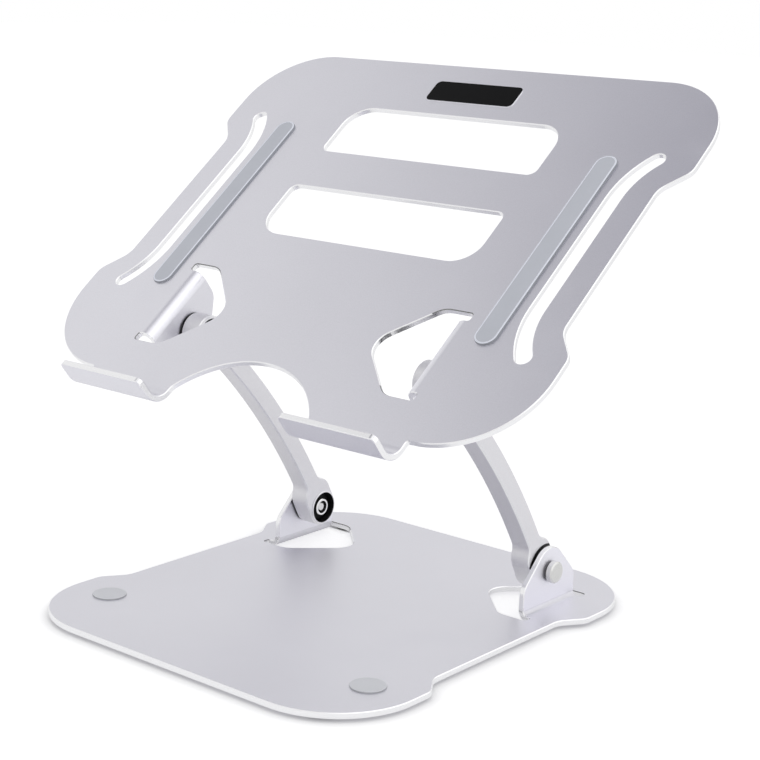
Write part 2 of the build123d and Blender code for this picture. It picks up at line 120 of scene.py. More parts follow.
@dataclass
class NodeBench:
    """Adds and links the nodes of one shader tree."""

    tree: NodeTree

    def feed(self, socket: NodeSocket, value: Feed) -> None:
        """Link a socket to another one, or set its own value.

        Args:
            socket: The input to feed.
            value: An output socket, a number, or the numbers of a colour or vector.
        """
        if isinstance(value, NodeSocket):
            self.tree.links.new(value, socket)
        else:
            socket.default_value = value

    def feed_all(self, node: Node, feeds: dict[str, Feed]) -> None:
        """Feed a node's inputs by name, where an underscore stands for a space."""
        for key, value in feeds.items():
            self.feed(node.inputs[key.replace("_", " ")], value)

    def add(self, kind: str, feeds: dict[Union[str, int], Feed], **settings: object) -> Node:
        """Add a node.

        Args:
            kind: The node's type name.
            feeds: What goes into each input, by the input's name or place.
            **settings: Properties of the node itself.

        Returns:
            The new node.
        """
        node = self.tree.nodes.new(kind)
        for name, value in settings.items():
            setattr(node, name, value)
        for key, value in feeds.items():
            self.feed(node.inputs[key], value)
        return node

    def math(self, operation: str, *values: Feed) -> NodeSocket:
        """The result of a math node on the values."""
        return self.add("ShaderNodeMath", dict(enumerate(values)), operation=operation).outputs[0]

    def product(self, *values: Feed) -> NodeSocket:
        """All the values multiplied together, in order."""
        return reduce(lambda first, second: self.math("MULTIPLY", first, second), values)

    def inverse(self, share: Feed) -> NodeSocket:
        """What a share lacks to 1."""
        return self.math("SUBTRACT", 1.0, share)

    def swing(self, value: Feed, reach: Feed) -> NodeSocket:
        """Turn a value of 0 to 1 into one of -reach to +reach."""
        centred = self.math("MULTIPLY_ADD", value, 2.0, -1.0)
        return self.math("MULTIPLY", centred, reach)

    def split(self, vector: Feed) -> tuple[NodeSocket, ...]:
        """The X, Y and Z of a vector."""
        return tuple(self.add("ShaderNodeSeparateXYZ", {0: vector}).outputs)

    def scale(self, vector: Feed, gain: Feed) -> NodeSocket:
        """A vector or colour times a number."""
        return self.add("ShaderNodeVectorMath", {0: vector, "Scale": gain}, operation="SCALE").outputs[0]

    def dot(self, first: Feed, second: Feed) -> NodeSocket:
        """The dot product of two vectors."""
        node = self.add("ShaderNodeVectorMath", {0: first, 1: second}, operation="DOT_PRODUCT")
        return node.outputs["Value"]

    def ramp(self, value: Feed, start: Feed, end: Feed) -> NodeSocket:
        """A smooth step from 0 at start to 1 at end."""
        feeds = {"Value": value, "From Min": start, "From Max": end}
        return self.add("ShaderNodeMapRange", feeds, interpolation_type="SMOOTHSTEP").outputs["Result"]

    def blend_color(self, share: Feed, first: Feed, second: Feed) -> NodeSocket:
        """Blend two colours.

        Args:
            share: The share of the second colour, from 0 to 1.
            first: The colour at 0.
            second: The colour at 1.

        Returns:
            The colour between them.
        """
        node = self.add("ShaderNodeMix", {}, data_type="RGBA")
        for key, value in (("Factor", share), ("A", first), ("B", second)):
            socket = next(found for found in node.inputs if found.name == key and found.enabled)
            self.feed(socket, value)
        return next(found for found in node.outputs if found.enabled)

    def blend_value(self, share: Feed, first: Feed, second: Feed) -> NodeSocket:
        """The number between two, by the share of the second."""
        feeds = {"Value": share, "To Min": first, "To Max": second}
        return self.add("ShaderNodeMapRange", feeds).outputs["Result"]

    def noise(self, vector: Feed, scale: Feed, octaves: float, roughness: float = 0.5) -> NodeSocket:
        """Fractal noise of 0 to 1 around a middle of 0.5."""
        feeds = {"Vector": vector, "Scale": scale, "Detail": octaves, "Roughness": roughness}
        return self.add("ShaderNodeTexNoise", feeds).outputs[0]

    def place(self, vector: Feed, origin: Feed, lean: float = 0.0) -> NodeSocket:
        """A vector in a frame that has its own origin and leans about X."""
        feeds = {"Vector": vector, "Location": origin, "Rotation": (lean, 0.0, 0.0)}
        return self.add("ShaderNodeMapping", feeds, vector_type="TEXTURE").outputs[0]

    def group(self, tree: NodeTree, **feeds: Feed) -> Node:
        """Place a node group.

        Args:
            tree: The group.
            **feeds: What goes into each input, by its name with underscores for spaces.

        Returns:
            The group's node.
        """
        node = self.add("ShaderNodeGroup", {}, node_tree=tree)
        self.feed_all(node, feeds)
        return node


@dataclass
class GroupBench(NodeBench):
    """The bench of a node group, with its input and output nodes."""

    entry: Node
    leave: Node

    @classmethod
    def start(cls, name: str, inputs: Sockets, outputs: Sockets) -> "GroupBench":
        """Make an empty node group.

        Args:
            name: The group's name.
            inputs: The kind of each input, by name.
            outputs: The kind of each output, by name.

        Returns:
            The bench to fill the group on.
        """
        tree = bpy.data.node_groups.new(name, "ShaderNodeTree")
        for way, sockets in (("INPUT", inputs), ("OUTPUT", outputs)):
            for socket_name, kind in sockets.items():
                tree.interface.new_socket(name=socket_name, in_out=way, socket_type=kind.value)
        return cls(tree, tree.nodes.new("NodeGroupInput"), tree.nodes.new("NodeGroupOutput"))

    def take(self, name: str) -> NodeSocket:
        """The socket that brings one of the group's inputs in."""
        return self.entry.outputs[name]

    def give(self, name: str, value: NodeSocket) -> None:
        """Send a value out of the group."""
        self.feed(self.leave.inputs[name], value)

    def above(self, value: Feed, name: str) -> NodeSocket:
        """1 where a value is over one of the group's inputs, and else 0."""
        return self.math("GREATER_THAN", value, self.take(name))

    def below(self, value: Feed, name: str) -> NodeSocket:
        """1 where a value is under one of the group's inputs, and else 0."""
        return self.math("LESS_THAN", value, self.take(name))


@dataclass(frozen=True)
class Effects:
    """The node groups that several finishes share."""

    bead_blast: NodeTree
    cut_sides: NodeTree
    turned_rings: NodeTree
    handling: NodeTree
    pebble: NodeTree

    @classmethod
    def build(cls) -> "Effects":
        """Build every group once.

        Returns:
            The set of groups.
        """
        return cls(
            bead_blast=bead_blast_group(),
            cut_sides=cut_sides_group(),
            turned_rings=turned_rings_group(),
            handling=handling_group(),
            pebble=pebble_group(),
        )


# Patterns of the shared effects, with their noise scales in features per metre
GRAIN_OCTAVES = 2.0
GRAIN_ROUGHNESS = 0.7
CLOUD_SCALE = 9.0
CLOUD_OCTAVES = 3.0
CLOUD_SHARE = 0.5
RING_OCTAVES = 2.0
PATCH_SCALE = 21.0
PATCH_OCTAVES = 4.0
PATCH_ROUGHNESS = 0.6
PATCH_START = 0.48
PATCH_FULL = 0.75
BLOOM_SCALE = 60.0
BLOOM_OCTAVES = 3.0

# A skin is sure where the square of its normal's part is over the first, and lost under the second
SKIN_SURE = 0.7
SKIN_LOST = 0.52

# A square times what it lacks to 1 is at most a quarter, half way round a bend or bevel
HALFWAY_GAIN = 4.0


def bead_blast_group() -> NodeTree:
    """Fine even grain of a blasted and anodised skin, with faint clouds.

    Returns:
        A group that puts out a colour, a roughness and a height.
    """
    bench = GroupBench.start(
        "bead_blast",
        {
            "Vector": SocketKind.VECTOR,
            "Tone": SocketKind.COLOR,
            "Spread": SocketKind.VALUE,
            "Gloss": SocketKind.VALUE,
            "Gloss Spread": SocketKind.VALUE,
            "Grain": SocketKind.VALUE,
        },
        {"Color": SocketKind.COLOR, "Roughness": SocketKind.VALUE, "Height": SocketKind.VALUE},
    )
    vector = bench.take("Vector")
    spread = bench.take("Spread")
    grain = bench.noise(vector, bench.take("Grain"), GRAIN_OCTAVES, GRAIN_ROUGHNESS)
    clouds = bench.noise(vector, CLOUD_SCALE, CLOUD_OCTAVES)
    cloud_swing = bench.swing(clouds, bench.product(spread, CLOUD_SHARE))
    tone_swing = bench.math("ADD", bench.swing(grain, spread), cloud_swing)
    gloss_swing = bench.swing(clouds, bench.take("Gloss Spread"))
    bench.give("Color", bench.scale(bench.take("Tone"), bench.math("ADD", tone_swing, 1.0)))
    bench.give("Roughness", bench.math("ADD", bench.take("Gloss"), gloss_swing))
    bench.give("Height", grain)
    return bench.tree


def cut_sides_group() -> NodeTree:
    """Tell the cut sides of a bent sheet from its two skins, and paint light and shade onto its tabs, bends
    and reliefs.

    The frame of the inputs has its origin on the pivot axis and Z along the way that the sheet's tabs
    point, so the sheet lies at negative Z and hooks stand at positive Y.

    Returns:
        A group that puts out a mask, 1 on cut sides and bevels, and the gain of the sheet's tone, which is
        painted light and shade.
    """
    limits = ("Blade Foot", "Bend Top", "Bend Inside", "Bend Outside", "Bend End")
    limits += ("Relief Inside", "Relief Outside", "Relief End", "Hook Start", "Lip Top")
    # Gains of the tone that paint light and shade: lighter or darker blades and bends, dark relief bevels
    painted_light_gains = ("Blade Gain", "Bend Gain", "Relief Gain")
    bench = GroupBench.start(
        "cut_sides",
        {
            "Position": SocketKind.VECTOR,
            "Normal": SocketKind.VECTOR,
            **dict.fromkeys(limits + painted_light_gains, SocketKind.VALUE),
        },
        {"Mask": SocketKind.VALUE, "Gain": SocketKind.VALUE},
    )
    x, y, z = bench.split(bench.take("Position"))
    across, along, out = (bench.product(part, part) for part in bench.split(bench.take("Normal")))
    from_middle = bench.math("ABSOLUTE", x)
    from_pivot = bench.math("ABSOLUTE", y)
    blade = bench.above(z, "Blade Foot")
    bend_up = bench.above(z, "Bend Top")
    bend = bench.product(
        bend_up,
        bench.above(from_middle, "Bend Inside"),
        bench.below(from_middle, "Bend Outside"),
        bench.below(from_pivot, "Bend End"),
    )
    relief = bench.product(
        bend_up,
        bench.above(from_middle, "Relief Inside"),
        bench.below(from_middle, "Relief Outside"),
        bench.above(from_pivot, "Bend End"),
        bench.below(from_pivot, "Relief End"),
    )
    plain = bench.inverse(bench.math("MAXIMUM", blade, bench.below(z, "Lip Top")))
    skin = bench.product(out, plain)
    skin = bench.math("MULTIPLY_ADD", across, bench.math("MAXIMUM", blade, bend), skin)
    skin = bench.math("MULTIPLY_ADD", along, bench.above(y, "Hook Start"), skin)
    mask = bench.ramp(skin, SKIN_SURE, SKIN_LOST)
    # Where the painted light and shade fall: the blades off their cut sides, half way round the bends, and
    # on the reliefs' bevels
    shares = (
        bench.product(blade, bench.inverse(mask)),
        bench.product(across, out, bend, HALFWAY_GAIN),
        bench.product(out, bench.inverse(out), HALFWAY_GAIN, relief, mask),
    )
    shades = [bench.blend_value(share, 1.0, bench.take(gain)) for share, gain in zip(shares, painted_light_gains)]
    bench.give("Mask", mask)
    bench.give("Gain", bench.product(*shades))
    return bench.tree


def turned_rings_group() -> NodeTree:
    """Rings that a lathe leaves around a pivot axis.

    Returns:
        A group that puts out the rings, from 0 to 1, and the distance from the axis.
    """
    bench = GroupBench.start(
        "turned_rings",
        {"Position": SocketKind.VECTOR, "Rings": SocketKind.VALUE},
        {"Rings": SocketKind.VALUE, "Radius": SocketKind.VALUE},
    )
    _, y, z = bench.split(bench.take("Position"))
    radius = bench.math("SQRT", bench.math("ADD", bench.product(y, y), bench.product(z, z)))
    step = bench.product(radius, bench.take("Rings"))
    feeds = {"W": step, "Scale": 1.0, "Detail": RING_OCTAVES}
    rings = bench.add("ShaderNodeTexNoise", feeds, noise_dimensions="1D")
    bench.give("Rings", rings.outputs[0])
    bench.give("Radius", radius)
    return bench.tree


def handling_group() -> NodeTree:
    """Soft patches where hands have dulled a surface.

    Returns:
        A group that puts out how much to add to the roughness.
    """
    bench = GroupBench.start(
        "handling",
        {"Vector": SocketKind.VECTOR, "Amount": SocketKind.VALUE},
        {"Dulling": SocketKind.VALUE},
    )
    patches = bench.noise(bench.take("Vector"), PATCH_SCALE, PATCH_OCTAVES, PATCH_ROUGHNESS)
    dull = bench.ramp(patches, PATCH_START, PATCH_FULL)
    bench.give("Dulling", bench.product(dull, bench.take("Amount")))
    return bench.tree


def pebble_group() -> NodeTree:
    """Fine moulded pebble of a soft pad.

    Returns:
        A group that puts out a colour and a height.
    """
    bench = GroupBench.start(
        "pebble",
        {
            "Vector": SocketKind.VECTOR,
            "Tone": SocketKind.COLOR,
            "Spread": SocketKind.VALUE,
            "Size": SocketKind.VALUE,
        },
        {"Color": SocketKind.COLOR, "Height": SocketKind.VALUE},
    )
    vector = bench.take("Vector")
    scale = bench.math("DIVIDE", 1.0, bench.take("Size"))
    cells = bench.add("ShaderNodeTexVoronoi", {"Vector": vector, "Scale": scale}, feature="SMOOTH_F1")
    bloom = bench.noise(vector, BLOOM_SCALE, BLOOM_OCTAVES)
    gain = bench.math("ADD", bench.swing(bloom, bench.take("Spread")), 1.0)
    bench.give("Color", bench.scale(bench.take("Tone"), gain))
    bench.give("Height", bench.inverse(cells.outputs["Distance"]))
    return bench.tree


# Finishes


@dataclass
class PaintBench(NodeBench):
    """The bench of a material, with its Principled BSDF and the shared node groups."""

    shader: Node
    effects: Effects

    def surface(self) -> tuple[NodeSocket, NodeSocket]:
        """The place and the normal of a surface point, both as the piece itself has them."""
        seat = self.add("ShaderNodeTexCoord", {})
        return seat.outputs["Object"], seat.outputs["Normal"]

    def rings(self, place: Feed, pivot: Point, fineness: float = 0.0) -> tuple[NodeSocket, NodeSocket]:
        """The lathe rings around a pivot axis, and the distance from it."""
        turned = self.group(self.effects.turned_rings, Position=self.place(place, pivot), Rings=fineness)
        return turned.outputs["Rings"], turned.outputs["Radius"]

    def handled(self, roughness: Feed, place: Feed, amount: float) -> NodeSocket:
        """A roughness, with the patches that hands have dulled."""
        patches = self.group(self.effects.handling, Vector=place, Amount=amount)
        return self.math("ADD", roughness, patches.outputs["Dulling"])

    def coat(self, **feeds: Feed) -> None:
        """Feed the shader's inputs by name, where an underscore stands for a space."""
        self.feed_all(self.shader, feeds)

    def coated(self) -> NodeSocket:
        """The colour that the shader has so far."""
        return self.shader.inputs["Base Color"].links[0].from_socket

    def emboss(self, height: Feed, depth: float, share: float) -> None:
        """Bump the shader's normal by a height of 0 to 1, a depth in metres and a share of its strength."""
        bump = self.add("ShaderNodeBump", {"Strength": share, "Distance": depth, "Height": height})
        self.coat(Normal=bump.outputs[0])


@dataclass(frozen=True)
class Finish(ABC):
    """A surface finish that becomes one material."""

    name: str

    def material(self, effects: Effects) -> Material:
        """Build the material.

        Args:
            effects: The shared node groups.

        Returns:
            A new material with this finish.
        """
        made = bpy.data.materials.new(self.name)
        made.use_nodes = True
        tree = made.node_tree
        self.paint(PaintBench(tree, tree.nodes["Principled BSDF"], effects))
        return made

    @abstractmethod
    def paint(self, bench: PaintBench) -> None:
        """Feed the shader.

        Args:
            bench: The material's bench.
        """


@dataclass(frozen=True)
class Anodised(Finish):
    """Silver anodised aluminium: a blasted skin, and brighter bevels where a mask says so."""

    tone: Rgb = (0.81, 0.805, 0.853)
    spread: float = 0.08
    gloss: float = 0.36
    gloss_spread: float = 0.02
    grain: float = 2000.0
    bevel_tone: Rgb = (0.95, 0.95, 0.96)
    bevel_gloss: float = 0.22
    bevel_height: float = 0.5
    dulling: float = 0.04
    relief: float = 0.03 * MM
    relief_share: float = 0.12

    @abstractmethod
    def bevels(self, bench: PaintBench, place: Feed, normal: Feed) -> NodeSocket:
        """The mask of the bevels.

        Args:
            bench: The material's bench.
            place: The place of the surface point.
            normal: Its normal.

        Returns:
            A mask that is 1 on bright bevels and cut sides.
        """

    def paint(self, bench: PaintBench) -> None:
        """Feed the shader with the skin and the bevels.

        Args:
            bench: The material's bench.
        """
        place, normal = bench.surface()
        skin = bench.group(
            bench.effects.bead_blast,
            Vector=place,
            Tone=rgba(self.tone),
            Spread=self.spread,
            Gloss=self.gloss,
            Gloss_Spread=self.gloss_spread,
            Grain=self.grain,
        )
        bevel = self.bevels(bench, place, normal)
        rough = bench.handled(skin.outputs["Roughness"], place, self.dulling)
        bench.coat(
            Base_Color=bench.blend_color(bevel, skin.outputs["Color"], rgba(self.bevel_tone)),
            Roughness=bench.blend_value(bevel, rough, self.bevel_gloss),
            Metallic=1.0,
        )
        height = bench.blend_value(bevel, skin.outputs["Height"], self.bevel_height)
        bench.emboss(height, self.relief, self.relief_share)


@dataclass(frozen=True)
class AnodisedSheet(Anodised):
    """The finish of a bent sheet, whose tabs point along Z of a frame on the pivot axis, with painted light
    and shade on its tabs, bends and reliefs.

    The limits lie in that frame, and those of the hooks are out of reach where a sheet has none.
    """

    pivot: Point = (0.0, 0.0, 0.0)
    lean: float = 0.0
    blade_foot: float = -15.5 * MM
    bend_top: float = -21.2 * MM
    bend_inside: float = 80.3 * MM
    bend_outside: float = 86.2 * MM
    bend_end: float = 22.7 * MM
    relief_inside: float = 62.0 * MM
    relief_outside: float = 88.4 * MM
    relief_end: float = 27.4 * MM
    hook_start: float = 1.0
    lip_top: float = -1.0
    # Painted light and shade: how much the colour is scaled on the tab blades, along the bends and on the
    # relief cuts' bevels
    blade_painted_light: float = 1.0
    bend_painted_light: float = 1.0
    relief_painted_shade: float = 0.25

    def paint(self, bench: PaintBench) -> None:
        """Feed the shader as any anodised finish, then scale its colour by painted light and shade on the
        tabs, bends and reliefs.

        Args:
            bench: The material's bench.
        """
        super().paint(bench)
        # Painted light and shade: the colour is scaled on the tabs, bends and reliefs
        gain = self.sides(bench, *bench.surface()).outputs["Gain"]
        bench.coat(Base_Color=bench.scale(bench.coated(), gain))

    def bevels(self, bench: PaintBench, place: Feed, normal: Feed) -> NodeSocket:
        """The cut sides and their bevels."""
        return self.sides(bench, place, normal).outputs["Mask"]

    def sides(self, bench: PaintBench, place: Feed, normal: Feed) -> Node:
        """Place the group that knows the sheet's parts.

        Args:
            bench: The material's bench.
            place: The place of the surface point.
            normal: Its normal.

        Returns:
            The group's node.
        """
        return bench.group(
            bench.effects.cut_sides,
            Position=bench.place(place, self.pivot, self.lean),
            Normal=bench.place(normal, (0.0, 0.0, 0.0), self.lean),
            Blade_Foot=self.blade_foot,
            Bend_Top=self.bend_top,
            Bend_Inside=self.bend_inside,
            Bend_Outside=self.bend_outside,
            Bend_End=self.bend_end,
            Relief_Inside=self.relief_inside,
            Relief_Outside=self.relief_outside,
            Relief_End=self.relief_end,
            Hook_Start=self.hook_start,
            Lip_Top=self.lip_top,
            Blade_Gain=self.blade_painted_light,
            Bend_Gain=self.bend_painted_light,
            Relief_Gain=self.relief_painted_shade,
        )


@dataclass(frozen=True)
class AnodisedBar(Anodised):
    """The finish of an arm: bevels around its flat left and right faces, and painted shade around its
    pivots.

    The springs' recesses are painted dark as shade, and so is a ring on each outer face around the friction
    washer's seat, as the shadow in the gap between arm and tab.
    The square of a bevel's normal across the arm is bevel_middle, give or take bevel_core to bevel_edge.
    """

    pivots: tuple[Point, ...] = ()
    recess_radius: float = 8.53 * MM
    seat_radius: float = 13.4 * MM
    seat_inside: float = 79.35 * MM
    black: Rgb = (0.004, 0.004, 0.004)
    bevel_middle: float = 0.5
    bevel_core: float = 0.1
    bevel_edge: float = 0.2

    def paint(self, bench: PaintBench) -> None:
        """Feed the shader as any anodised finish, then paint dark shade into the recesses and onto the
        seats.

        Args:
            bench: The material's bench.
        """
        super().paint(bench)
        place, _ = bench.surface()
        from_middle = bench.math("ABSOLUTE", bench.split(place)[0])
        outer = bench.math("GREATER_THAN", from_middle, self.seat_inside)
        reach = bench.blend_value(outer, self.recess_radius, self.seat_radius)
        # Painted shade: a dark, non-metal colour in the springs' recesses and in the gap between arm and
        # tab
        black: Feed = 0.0
        for pivot in self.pivots:
            _, radius = bench.rings(place, pivot)
            black = bench.math("MAXIMUM", black, bench.math("LESS_THAN", radius, reach))
        color = bench.blend_color(black, bench.coated(), rgba(self.black))
        bench.coat(Base_Color=color, Metallic=bench.inverse(black))

    def bevels(self, bench: PaintBench, place: Feed, normal: Feed) -> NodeSocket:
        """The bevels, which lean half way between the flat faces and the bar's edges.

        Args:
            bench: The material's bench.
            place: The place of the surface point.
            normal: Its normal.

        Returns:
            A mask that is 1 on the bevels.
        """
        across, _, _ = bench.split(normal)
        off_bevel = bench.math("SUBTRACT", bench.product(across, across), self.bevel_middle)
        return bench.ramp(bench.math("ABSOLUTE", off_bevel), self.bevel_edge, self.bevel_core)


@dataclass(frozen=True)
class TurnedSteel(Finish):
    """Turned steel around a pivot axis, with painted shade in the countersink between two radii.

    The countersink's painted shade grows where the X of its normal falls from face_flat to face_sloping.
    """

    pivot: Point = (0.0, 0.0, 0.0)
    tone: Rgb = (0.72, 0.72, 0.705)
    tone_swing: float = 0.08
    painted_groove_shade: Rgb = (0.012, 0.012, 0.012)
    groove_start: float = 2.35 * MM
    groove_end: float = 3.5 * MM
    face_flat: float = 0.97
    face_sloping: float = 0.9
    gloss: float = 0.24
    gloss_swing: float = 0.08
    fineness: float = 6000.0
    dulling: float = 0.05
    relief: float = 0.02 * MM
    relief_share: float = 0.2

    def paint(self, bench: PaintBench) -> None:
        """Feed the shader with lathe rings and the painted shade in the countersink.

        Args:
            bench: The material's bench.
        """
        place, normal = bench.surface()
        rings, radius = bench.rings(place, self.pivot, self.fineness)
        across, _, _ = bench.split(normal)
        # Painted shade on the countersink's slope, between the two radii
        groove = bench.product(
            bench.math("GREATER_THAN", radius, self.groove_start),
            bench.math("LESS_THAN", radius, self.groove_end),
            bench.ramp(bench.math("ABSOLUTE", across), self.face_flat, self.face_sloping),
        )
        steel = bench.scale(self.tone, bench.math("ADD", bench.swing(rings, self.tone_swing), 1.0))
        rough = bench.math("ADD", bench.swing(rings, self.gloss_swing), self.gloss)
        bench.coat(
            Base_Color=bench.blend_color(groove, steel, rgba(self.painted_groove_shade)),
            Roughness=bench.handled(rough, place, self.dulling),
            Metallic=1.0,
        )
        bench.emboss(rings, self.relief, self.relief_share)


@dataclass(frozen=True)
class Blackened(Finish):
    """Dark disc around a pivot axis: oxide on spring steel, a smooth polymer, or steel whose dark tone is
    painted shade.
    """

    pivot: Point = (0.0, 0.0, 0.0)
    tone: Rgb = (0.006, 0.006, 0.0065)
    sheen_band_tone: Rgb = (0.03, 0.03, 0.031)
    sheen_band_radius: float = 6.2 * MM
    sheen_band_width: float = 1.4 * MM
    gloss: float = 0.38
    gloss_swing: float = 0.1
    metallic: float = 0.0
    sheen: float = 0.12
    fineness: float = 4200.0
    relief: float = 0.02 * MM
    relief_share: float = 0.2

    def paint(self, bench: PaintBench) -> None:
        """Feed the shader with rings, and a paler band around the middle radius, a painted sheen.

        Args:
            bench: The material's bench.
        """
        place, _ = bench.surface()
        rings, radius = bench.rings(place, self.pivot, self.fineness)
        # Painted sheen: a paler band around the middle radius, broken up by the rings
        off_band = bench.math("ABSOLUTE", bench.math("SUBTRACT", radius, self.sheen_band_radius))
        sheen_band = bench.product(bench.ramp(off_band, self.sheen_band_width, 0.0), rings)
        bench.coat(
            Base_Color=bench.blend_color(sheen_band, rgba(self.tone), rgba(self.sheen_band_tone)),
            Roughness=bench.math("ADD", bench.swing(rings, self.gloss_swing), self.gloss),
            Metallic=self.metallic,
            Specular_IOR_Level=self.sheen,
        )
        bench.emboss(rings, self.relief, self.relief_share)


@dataclass(frozen=True)
class SoftRubber(Finish):
    """Moulded rubber or silicone with a fine pebble, a painted highlight on its rim and painted shade on
    its walls.

    The rim and the walls start and are full at these parts of the normal along the way up.
    """

    tone: Rgb = (0.53, 0.548, 0.598)
    up: Point = (0.0, 0.0, 1.0)
    rim_start: float = 0.998
    rim_full: float = 0.98
    rim_highlight_gain: float = 1.7
    wall_start: float = 0.75
    wall_full: float = 0.45
    wall_shade_gain: float = 0.62
    spread: float = 0.06
    pebble: float = 0.45 * MM
    gloss: float = 0.55
    dulling: float = 0.12
    relief: float = 0.05 * MM
    relief_share: float = 0.25

    def paint(self, bench: PaintBench) -> None:
        """Feed the shader with the pebble, the painted highlight on the rim and the painted shade on the
        walls.

        Args:
            bench: The material's bench.
        """
        place, normal = bench.surface()
        upright = bench.dot(normal, self.up)
        # Painted highlight on the rim's slope and painted shade on the steep walls, by the normal alone
        rim = bench.ramp(upright, self.rim_start, self.rim_full)
        wall = bench.ramp(upright, self.wall_start, self.wall_full)
        gain = bench.blend_value(wall, bench.blend_value(rim, 1.0, self.rim_highlight_gain), self.wall_shade_gain)
        pebble = bench.group(
            bench.effects.pebble,
            Vector=place,
            Tone=rgba(self.tone),
            Spread=self.spread,
            Size=self.pebble,
        )
        bench.coat(
            Base_Color=bench.scale(pebble.outputs["Color"], gain),
            Roughness=bench.handled(self.gloss, place, self.dulling),
        )
        bench.emboss(pebble.outputs["Height"], self.relief, self.relief_share)


@dataclass(frozen=True)
class BlackLacquer(Finish):
    """Black lacquer on a blank metal plate, with a trace of orange peel and bare edges.

    The bare edges start and are full at these parts of the normal along the way up.
    """

    tone: Rgb = (0.005, 0.005, 0.0055)
    up: Point = (0.0, 0.0, 1.0)
    edge_tone: Rgb = (0.85, 0.85, 0.86)
    edge_start: float = 0.95
    edge_full: float = 0.8
    spread: float = 0.15
    gloss: float = 0.3
    gloss_spread: float = 0.03
    dulling: float = 0.15
    grain: float = 900.0
    sheen: float = 0.04
    relief: float = 0.03 * MM
    relief_share: float = 0.1

    def paint(self, bench: PaintBench) -> None:
        """Feed the shader with the lacquer's grain and the bare edges.

        Args:
            bench: The material's bench.
        """
        place, normal = bench.surface()
        edge = bench.ramp(bench.dot(normal, self.up), self.edge_start, self.edge_full)
        skin = bench.group(
            bench.effects.bead_blast,
            Vector=place,
            Tone=rgba(self.tone),
            Spread=self.spread,
            Gloss=self.gloss,
            Gloss_Spread=self.gloss_spread,
            Grain=self.grain,
        )
        bench.coat(
            Base_Color=bench.blend_color(edge, skin.outputs["Color"], rgba(self.edge_tone)),
            Metallic=edge,
            Roughness=bench.handled(skin.outputs["Roughness"], place, self.dulling),
            Specular_IOR_Level=self.sheen,
        )
        bench.emboss(skin.outputs["Height"], self.relief, self.relief_share)


# Meshes


SHARP_ANGLE = math.radians(50.0)


def bridge(form: BMesh, lower: list[BMVert], upper: list[BMVert]) -> None:
    """Join two closed rings with quads.

    Args:
        form: The mesh that holds both rings.
        lower: The points of one ring.
        upper: As many points of the other.
    """
    count = len(lower)
    for index in range(count):
        following = (index + 1) % count
        form.faces.new((lower[index], lower[following], upper[following], upper[index]))


def ringed_piece(name: str, rings: list[list[Vector]]) -> Object:
    """A closed piece skinned over a stack of rings, with flat ends.

    Args:
        name: The piece's name.
        rings: Closed rings of points, from the underside up, all with the same number of points.

    Returns:
        The new object, with its place in its mesh.
    """
    form = bmesh.new()
    corners = [[form.verts.new(point) for point in ring] for ring in rings]
    for lower, upper in zip(corners, corners[1:]):
        bridge(form, lower, upper)
    form.faces.new(reversed(corners[0]))
    form.faces.new(corners[-1])
    bmesh.ops.recalc_face_normals(form, faces=form.faces)
    mesh = bpy.data.meshes.new(name)
    form.to_mesh(mesh)
    form.free()
    mesh.shade_smooth()
    mesh.set_sharp_from_angle(angle=SHARP_ANGLE)
    piece = bpy.data.objects.new(name, mesh)
    bpy.context.scene.collection.objects.link(piece)
    return piece


def round_ring(radius: float, height: float, seat: Matrix, count: int = 72) -> list[Vector]:
    """A ring of points around Z of the seat."""
    turns = [2.0 * math.pi * index / count for index in range(count)]
    return [seat @ Vector((radius * math.cos(turn), radius * math.sin(turn), height)) for turn in turns]


def stadium_ring(
    radius: float,
    half_run: float,
    height: float,
    seat: Matrix,
    count: int = 20,
    stations: int = 24,
) -> list[Vector]:
    """A ring with round ends and straight sides along Y of the seat.

    Args:
        radius: The radius of the ends.
        half_run: Half the length of the straight sides.
        height: The ring's height over the seat.
        seat: The frame that the ring lies in.
        count: The number of steps around each end.
        stations: The number of steps along each side.

    Returns:
        The ring's points in order.
    """
    points = []
    for end in (1.0, -1.0):
        for index in range(count):
            turn = math.pi * index / count
            points.append((end * radius * math.cos(turn), end * (half_run + radius * math.sin(turn))))
        for index in range(stations):
            points.append((-end * radius, end * half_run * (1.0 - 2.0 * index / stations)))
    return [seat @ Vector((x, y, height)) for x, y in points]


def extent(node: str, seat: Matrix) -> tuple[Vector, Vector]:
    """The lowest and highest corners of a CAD node in a frame of its own.

    Args:
        node: The CAD node's name.
        seat: The frame to measure in.

    Returns:
        The two corners.
    """
    back = seat.inverted()
    places = [back @ corner.co for corner in frame["nodes"][node].data.vertices]
    low = Vector([min(place[axis] for place in places) for axis in range(3)])
    high = Vector([max(place[axis] for place in places) for axis in range(3)])
    return low, high


# Sub-assemblies


@dataclass
class Assembly(ABC):
    """A group of pieces that is built and dressed together."""

    effects: Effects

    @abstractmethod
    def build(self) -> None:
        """Make the pieces and give each its finish."""

    def dress(self, finish: Finish, *nodes: str) -> None:
        """Give CAD nodes a finish.

        Args:
            finish: The finish to build.
            *nodes: The names of the nodes that take it.
        """
        made = finish.material(self.effects)
        for node in nodes:
            slots = frame["nodes"][node].data.materials
            slots.clear()
            slots.append(made)
            LOG.info("dressed %s in %s", node, finish.name)

    def stand_for(self, piece: Object, node: str, body: str, slot: str, made: Material) -> None:
        """Put a new piece in the place of a CAD node.

        Args:
            piece: The new piece.
            node: The CAD node that it replaces.
            body: The body that it rides on.
            slot: The record's material slot; not used.
            made: The piece's material.
        """
        piece.data.materials.append(made)
        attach(piece, body)
        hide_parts(node)
        LOG.info("built %s for %s", piece.name, node)


